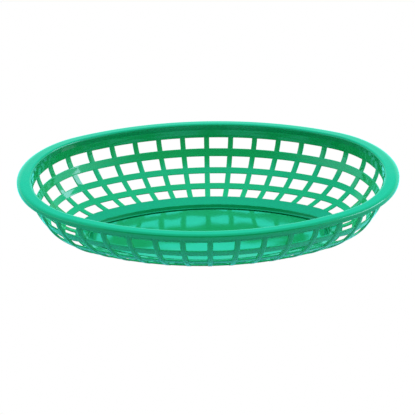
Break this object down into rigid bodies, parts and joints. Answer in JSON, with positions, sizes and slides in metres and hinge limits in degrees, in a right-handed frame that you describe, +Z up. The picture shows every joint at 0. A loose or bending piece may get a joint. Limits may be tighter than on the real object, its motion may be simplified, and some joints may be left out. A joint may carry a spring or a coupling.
{
  "type": "serving basket",
  "caption": "Oval open-lattice plastic serving basket with a flat lipped rim, curved ribbed wall, inner hoops and a flat floor, lined with paper to serve food.",
  "frame": {"origin": "middle of the footprint, on the plane the basket stands on", "axes": "+X along the basket's length, +Y across its width, +Z up through its open top"},
  "size_m": [0.235, 0.1516, 0.044],
  "materials": {
    "green_plastic": "glossy moulded green plastic"
  },
  "bodies": {
    "root": {"rim": "green_plastic", "upper_band": "green_plastic", "hoop_upper": "green_plastic", "hoop_middle": "green_plastic", "hoop_lower": "green_plastic", "base_band": "green_plastic", "foot_ring": "green_plastic", "floor_panel": "green_plastic", "rib_01": "green_plastic", "rib_02": "green_plastic", "rib_03": "green_plastic", "rib_04": "green_plastic", "rib_05": "green_plastic", "rib_06": "green_plastic", "rib_07": "green_plastic", "rib_08": "green_plastic", "rib_09": "green_plastic", "rib_10": "green_plastic", "rib_11": "green_plastic", "rib_12": "green_plastic", "rib_13": "green_plastic", "rib_14": "green_plastic", "rib_15": "green_plastic", "rib_16": "green_plastic", "rib_17": "green_plastic", "rib_18": "green_plastic", "rib_19": "green_plastic", "rib_20": "green_plastic", "rib_21": "green_plastic", "rib_22": "green_plastic", "rib_23": "green_plastic", "rib_24": "green_plastic", "rib_25": "green_plastic", "rib_26": "green_plastic", "rib_27": "green_plastic", "rib_28": "green_plastic", "rib_29": "green_plastic", "rib_30": "green_plastic", "rib_31": "green_plastic", "rib_32": "green_plastic", "rib_33": "green_plastic", "rib_34": "green_plastic", "rib_35": "green_plastic", "rib_36": "green_plastic"}
  },
  "joints": []
}
